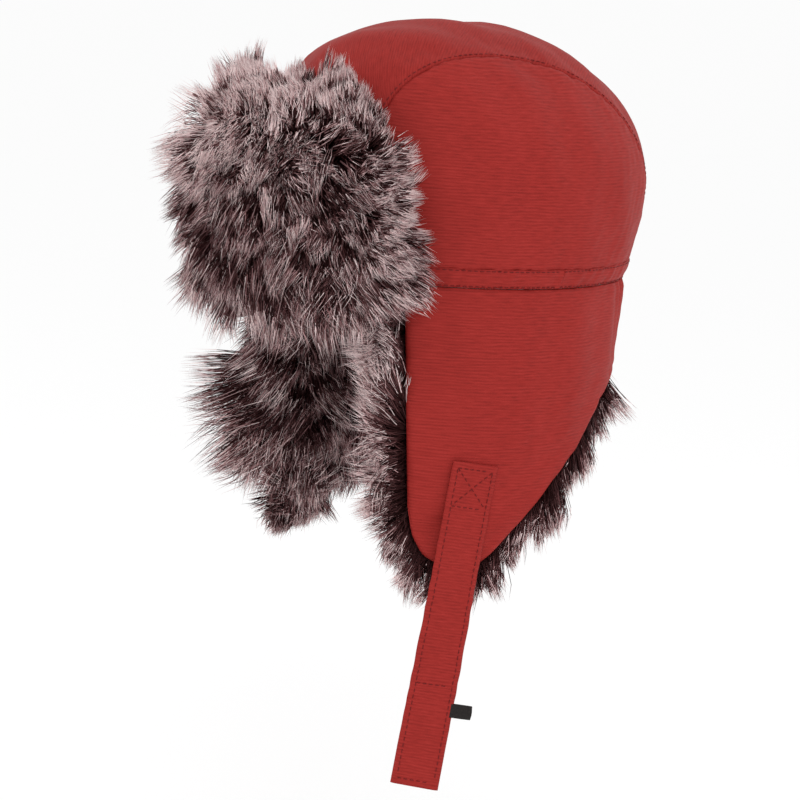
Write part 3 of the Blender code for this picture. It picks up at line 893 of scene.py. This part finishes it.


# The same for the lining's fur: a place along the skirt, from the flap's front edge (0) to the middle
# of the back (1), and up from the hem. Then how it is combed to the front and down, how far it leans,
# its length in millimetres and its brightness. The brightness is the fur's own tone with painted light
# and shade in it: darker higher up inside the hat and on the far flap, paler along the near flap's
# front edge. Both halves share the neck's.
NECK_COMB = [
    (0.62, 0.00, 0.0, 1.0, 1.15, 31, 0.50),
    (0.62, 0.60, 0.0, 1.0, 1.15, 31, 0.34),
    (1.00, 0.00, 0.0, 1.0, 1.10, 29, 0.50),
    (1.00, 0.60, 0.0, 1.0, 1.10, 29, 0.34),
]
NEAR_COMB = [
    (0.00, 0.95, 0.9, 0.4, 1.45, 36, 0.85),
    (0.00, 0.60, 1.0, 0.3, 1.45, 38, 0.90),
    (0.00, 0.30, 1.0, 0.6, 1.35, 38, 0.74),
    (0.00, 0.05, 0.7, 0.9, 1.15, 30, 0.66),
    (0.12, 0.00, 0.3, 1.0, 0.95, 26, 0.58),
    (0.30, 0.00, -0.1, 1.0, 1.15, 28, 0.50),
    (0.45, 0.00, -0.2, 1.0, 1.15, 30, 0.50),
    (0.20, 0.50, 0.2, 1.0, 1.15, 32, 0.36),
    (0.40, 0.50, 0.0, 1.0, 1.15, 32, 0.34),
]
FAR_COMB = [
    (0.00, 0.95, 0.6, 0.9, 1.70, 26, 0.34),
    (0.00, 0.70, 0.7, 1.2, 2.10, 44, 0.34),
    (0.00, 0.45, 0.8, 1.0, 2.25, 60, 0.36),
    (0.00, 0.22, 0.8, 0.8, 2.25, 62, 0.44),
    (0.00, 0.03, 1.0, 0.30, 2.25, 58, 0.46),
    (0.08, 0.00, 0.8, 0.5, 0.95, 10, 0.48),
    (0.18, 0.00, 0.1, 1.0, 0.80, 7, 0.56),
    (0.28, 0.00, 0.0, 1.0, 1.30, 36, 0.54),
    (0.35, 0.00, 0.0, 1.0, 1.35, 48, 0.48),
    (0.44, 0.00, 0.0, 1.0, 1.30, 47, 0.40),
    (0.10, 0.55, 0.3, 1.0, 1.40, 36, 0.36),
    (0.10, 0.20, 0.2, 1.0, 1.30, 28, 0.40),
    (0.22, 0.50, 0.0, 1.0, 1.20, 34, 0.22),
    (0.32, 0.50, 0.0, 1.0, 1.20, 34, 0.16),
    (0.45, 0.50, 0.0, 1.0, 1.20, 34, 0.26),
]
LINING_COMB = {1: NEAR_COMB + NECK_COMB, -1: FAR_COMB + NECK_COMB}
LINING_REACH = (0.10, 0.20)
LINING_STRANDS = 12000
LINING_TUFTS = 200
LINING_PULL = 0.56
# At the edge the fur spreads between these shares of its lean.
FRINGE_SPREAD = (0.50, 1.15)
FRINGE_STRANDS = {1: 13000, -1: 15500}


def skirt_fur(side, word):
    """The lining fur of one half of the skirt, with its backing, down the flap and round the neck."""
    base, _ = skirt_grid(side, 0.0058)
    distance = edge_distance(skirt_grid(side, 0.0)[0], skirt_edge(side))
    lump = 0.004 + 0.0015 * waves(base, 0.02, 41 + side)
    x, y = np.abs(base[..., 0]), base[..., 1]
    inwards = unit_rows(np.stack([-side * x / HALF_WIDTH, -y / HALF_LENGTH, 0 * x], -1))
    skin = base + inwards * ((lump + 0.004) * np.clip(distance / 0.012, 0, 1) ** 0.5)[..., None]
    backing = closed_sheet(f"{word}_fur_backing", base, skin, [looks["backing"]])
    fold_blend(backing)
    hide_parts(f"{word}_ear_flap_fur", *(["neck_guard_fur"] if side > 0 else []))
    # Two pieces cover the lining, and the third is the fringe at its edge.
    for number in range(3):
        fringe = number == 2
        count = FRINGE_STRANDS[side] if fringe else LINING_STRANDS
        boost = np.exp(-distance / 0.0035) if fringe else 1 + 0.8 * np.exp(-distance / 0.012)
        root, normal, i, j = sample_grid(skin, count, inwards, boost)
        along = i / (skin.shape[0] - 1)
        above = j / (skin.shape[1] - 1)
        ahead, down, lean, length, light = combed(LINING_COMB[side], along, above, LINING_REACH)
        forward = -unit_rows(np.gradient(skin, axis=0))[i, j]
        comb = forward * ahead[:, None] - UP * down[:, None]
        comb = swirled(comb, root, normal, 0.05, 51)
        if fringe:
            bloom = lean * rng.uniform(*FRINGE_SPREAD, count)
            lean = np.stack([bloom * 0.85, bloom * 1.08], -1)
        else:
            lean = np.stack([0.45 * lean, 1.25 * lean], -1)
        length = length / 1000 + 0.003 * waves(root, 0.03, 55)
        light = light + 0.16 * waves(root, 0.030, 56)
        most = 1.35 + 1.35 * np.clip(1 - distance[i, j] / 0.007, 0, 1)
        lean = np.minimum(lean, most[:, None])
        # A strand moves whole, with the side of the fold that its root is on.
        fold = (root - FOLD_POINT * (side, 1, 1)) @ FOLD_DOWN > (FOLD_START + FOLD_END) / 2
        # Above the fold, at the front, it stays short enough for the front flap to fold down past it.
        length = np.where(fold, length, np.minimum(length, 0.022 + 0.16 * along))
        # The near fringe's roots start paler: less painted shade at that lit edge.
        paler = 1.3 if fringe and side > 0 else 0.0
        for on, body, part in ((fold, FLAP_BODY[side], "flap"), (~fold, "crown", "neck")):
            name = f"{word}_{part}_fur_{number + 1}"
            tufts = int(LINING_TUFTS * on.mean())
            strands = (root[on], normal[on], comb[on], length[on], lean[on])
            piece = fur(name, *strands, tufts, LINING_PULL, light[on], paler)
            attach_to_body(piece, body)


# ---------------------------------------------------------------- strap, stitches and small parts


def stitches(name, lines, attach):
    """Thread on top of the cloth. lines is a list of (points, normals) along each stitch line.

    profile is each ring of a stitch: its place along, its height and its size in threads.
    """
    profile = ((0.0, -0.8, 0.5), (0.2, 0.5, 1.0), (0.8, 0.5, 1.0), (1.0, -0.8, 0.5))
    points = []
    for line, normal in lines:
        gap = np.linalg.norm(np.diff(line, axis=0), axis=1)
        run = np.concatenate([[0], np.cumsum(gap)])
        pitch = STITCH + STITCH_GAP
        for k in range(int(run[-1] / pitch)):
            at = np.array([k * pitch, k * pitch + STITCH])
            start, end = np.stack([np.interp(at, run, line[:, c]) for c in range(3)], -1)
            out = unit_rows(np.array([np.interp(at.mean(), run, normal[:, c]) for c in range(3)]))
            side = np.cross(unit_rows(end - start), out)
            for t, rise, size in profile:
                middle = start * (1 - t) + end * t + out * THREAD * rise
                for turn in 2 * math.pi * np.arange(5) / 5:
                    ring = side * math.cos(turn) + out * math.sin(turn)
                    points.append(middle + ring * THREAD * size)
    faces = tubes(4, 5, [(4, 3, 2, 1, 0), (15, 16, 17, 18, 19)], len(points) // 20)
    piece = make_mesh(name, points, faces, [looks["thread"]])
    attach(piece)


def crown_stitches():
    """Rows on the top panel beside its two seams, and on both edges of the band."""
    rows = []
    v = np.linspace(0.01, 0.99, 500)
    for side in (1, -1):
        unit = panel_unit(side * 0.968 * np.ones_like(v), v, BAND_TOP)
        p = crown_from(unit, 0.0001)
        rows.append((p, unit_rows(p - (0, 0, 0.03))))
    angle = np.linspace(0, 2 * math.pi, 1200)
    for z in (0.0010, BAND_TOP - 0.0010):
        level = np.full_like(angle, z)
        p = crown_at(angle, level, -band_ripple(angle, level) - 0.0001)
        rows.append((p, unit_rows(p * (1, 1, 0))))
    stitches("crown_stitches", rows, lambda piece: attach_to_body(piece, "crown"))


class Strap:
    """The chin strap's line and faces, read from its CAD solids. It twists a little below its turn."""

    def __init__(self):
        joint = next(j for j in frame["joints"] if j["name"] == "chin_strap_swing")
        self.turn = np.array(joint["pos_m"])
        solids = [
            np.array([v.co[:] for v in frame["nodes"][name].data.vertices])
            for name in ("chin_strap_sewn_end", "chin_strap")
        ]
        self.across = unit_rows(np.array(joint["axis"]))
        self.down = unit_rows(solids[1].mean(0) - self.turn)
        self.out = unit_rows(np.cross(self.across, self.down))
        if self.out[0] < 0:
            self.out = -self.out
        self.sewn = -((solids[0] - self.turn) @ self.down).min()
        self.length = self.sewn + ((solids[1] - self.turn) @ self.down).max()
        self.half = STRAP_WIDTH / 2

    def at(self, along, side, height):
        """A point: along from the top, side from the middle, height off the middle face."""
        along, side, height = [np.asarray(a, float)[..., None] for a in (along, side, height)]
        free = np.clip((along - self.sewn) / (self.length - self.sewn), 0, 1)
        twist = STRAP_TWIST * free
        face = self.across * np.cos(twist) + self.out * np.sin(twist)
        front = self.out * np.cos(twist) - self.across * np.sin(twist)
        edge = (side / self.half) ** 2
        pucker = 0.0006 * np.sin(along * 420 + 2.2 * np.sin(along * 95)) * edge
        pucker = pucker * (0.25 + 0.75 * np.exp(-(((along - 0.105) / 0.035) ** 2)))
        bow = 0.0012 * np.sin(free * 5.0) * free
        middle = self.turn + self.down * (along - self.sewn)
        return middle + face * side + front * (pucker + bow + height)

    def attach(self, piece):
        """Applies a piece's transform to its mesh."""
        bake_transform(piece)

    def line(self, start, end, height):
        """Points on a straight run between two (along, side) places, and their normals."""
        along, side = np.linspace(start, end, max(2, int(math.dist(start, end) / 0.001))).T
        points = self.at(along, side, np.full_like(along, height))
        return points, points - self.at(along, side, np.zeros_like(along))

    def sheet(self, name, along, width, low, high, look):
        """A flat layer along the strap with rounded edges, between two heights off its middle face."""
        s, x = grid_of(along, np.linspace(-1, 1, 17))
        side = x * width / 2
        round_off = (high - low) / 2 * (1 - np.sqrt(np.clip(1 - np.abs(x) ** 14, 0.02, 1)))
        outer = self.at(s, side, high - round_off)
        inner = self.at(s, side, low + round_off)
        piece = closed_sheet(name, outer, inner, [look], np.stack([side, s], -1))
        self.attach(piece)
        return piece


def chin_strap():
    """The strap, its hook tape, the flag tab in its edge, and its stitches."""
    strap = Strap()
    thick = STRAP_THICK / 2
    along = np.linspace(0, strap.length, 181)
    cloth = strap.sheet("chin_strap_cloth", along, STRAP_WIDTH, -thick, thick, looks["nylon"])
    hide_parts("chin_strap", "chin_strap_sewn_end")
    tape_end = strap.length - 0.006
    along = np.linspace(tape_end - TAPE_LENGTH, tape_end, 40)
    tape = strap.sheet(
        "strap_hook_tape_strip", along, 0.022, -thick - 0.0014, -thick - 0.0002, looks["tape"]
    )
    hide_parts("strap_hook_tape")
    low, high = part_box("strap_flag_tab")
    tab_at = strap.sewn + (np.array((low + high) / 2) - strap.turn) @ strap.down
    s, x = grid_of(np.linspace(-1, 1, 9), np.linspace(0, 1, 25))
    reach = strap.half - 0.004 + 0.0145 * np.sin(x * math.pi) ** 0.8
    fold = 0.0006 * np.cos(x * math.pi)
    outer = strap.at(tab_at + s * 0.00375, reach, fold * 1.6)
    inner = strap.at(tab_at + s * 0.00375, reach - 0.0004 * np.sin(x * math.pi), fold * 0.9)
    tab = closed_sheet("flag_tab_loop", outer, inner, [looks["label"]])
    strap.attach(tab)
    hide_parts("strap_flag_tab")
    edge = strap.half - 0.0030
    box_top, box_low = 0.0035, 0.0245
    tape_top, tape_low = strap.length - TAPE_LENGTH - 0.008, strap.length - 0.0035
    runs = [
        [(0.004, -edge), (strap.length - 0.003, -edge)],
        [(0.004, edge), (strap.length - 0.003, edge)],
        [(box_top, -edge), (box_top, edge)],
        [(box_low, -edge), (box_low, edge)],
        [(box_top, -edge), (box_low, edge)],
        [(box_top, edge), (box_low, -edge)],
        [(tape_top, -edge), (tape_top, edge)],
        [(tape_low, -edge), (tape_low, edge)],
    ]
    rows = [strap.line(*run, thick) for run in runs]
    stitches("chin_strap_stitches", rows, strap.attach)


# ---------------------------------------------------------------- camera and light


def camera():
    """The photo's view, from the hat's front left and a little above, with a roll."""
    azimuth, elevation, roll = (math.radians(a) for a in (47.0, 10.6, 5.0))
    distance = 1.35
    right = Vector((math.cos(azimuth), math.sin(azimuth), 0))
    level = math.cos(elevation)
    back = Vector((math.sin(azimuth) * level, -math.cos(azimuth) * level, math.sin(elevation)))
    up = back.cross(right)
    c, s = math.cos(roll), math.sin(roll)
    right, up = right * c + up * s, up * c - right * s
    aim = right * -0.0297 + up * -0.0769
    data = bpy.data.cameras.new("camera")
    data.lens = 106.6
    data.sensor_width = 36.0
    made = bpy.data.objects.new("camera", data)
    bpy.context.scene.collection.objects.link(made)
    turn = Matrix((right, up, back)).transposed().to_4x4()
    made.matrix_world = Matrix.Translation(aim + back * distance) @ turn
    bpy.context.scene.camera = made


def light(name, place, size, power):
    data = bpy.data.lights.new(name, "AREA")
    data.shape = "DISK"
    data.size = size
    data.energy = power
    made = bpy.data.objects.new(name, data)
    made.location = place
    away = Vector(place) - Vector((0, 0, -0.05))
    made.rotation_euler = away.to_track_quat("Z", "Y").to_euler()
    bpy.context.scene.collection.objects.link(made)


def studio():
    world = bpy.data.worlds.new("studio")
    world.use_nodes = True
    sky = world.node_tree.nodes["Background"].inputs
    sky["Color"].default_value = (1, 1, 1, 1)
    sky["Strength"].default_value = 1.0
    bpy.context.scene.world = world
    bpy.context.scene.view_settings.view_transform = "Standard"
    bpy.ops.mesh.primitive_plane_add(size=400, location=(0, 0, cad_box[0].z - 0.20))
    floor = bpy.context.active_object
    floor.name = "floor"
    floor.data.materials.append(plain("pale_floor", (0.97, 0.97, 0.97), 1.0, 0.0))
    light("key", (1.5, -1.2, 1.3), 0.9, 5)
    light("fill", (-1.3, -1.4, 0.7), 1.4, 2)
    light("back", (0.7, 1.6, 1.1), 1.0, 2)


# ---------------------------------------------------------------- assembly

camera()
studio()
crown_panels()
padding = dome("crown_padding", 0.0022, 0.0111, WADDING, looks["wadding"])
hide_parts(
    "crown_top_wadding", "crown_side_wadding_left", "crown_side_wadding_right"
)
lining = dome("quilted_lining", 0.0068, 0.0003, SHELL, looks["lining"], quilt=0.0015)
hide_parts("crown_lining")
base_band()
for side, word in SIDES:
    shells, fillings = [f"{word}_ear_flap_shell"], [f"{word}_ear_flap_wadding"]
    if side > 0:
        shells.append("neck_guard_shell")
        fillings.append("neck_guard_wadding")
    skirt_layer(f"{word}_ear_flap_cloth", side, (0.0, SHELL), "nylon", shells, 1.0)
    name, insets = f"{word}_ear_flap_padding", (0.0013, 0.0053)
    padding = skirt_layer(name, side, insets, "wadding", fillings, 0.9)
    skirt_fur(side, word)
front_flap()
crown_stitches()
chin_strap()
for node, look in (
    ("back_elastic", "elastic"),
    ("sweatband", "lining"),
    ("crown_loop_patch", "tape"),
    ("front_flap_hook_patch", "tape"),
    ("right_flap_loop_tape", "tape"),
):
    data = frame["nodes"][node].data
    data.materials.clear()
    data.materials.append(looks[look])
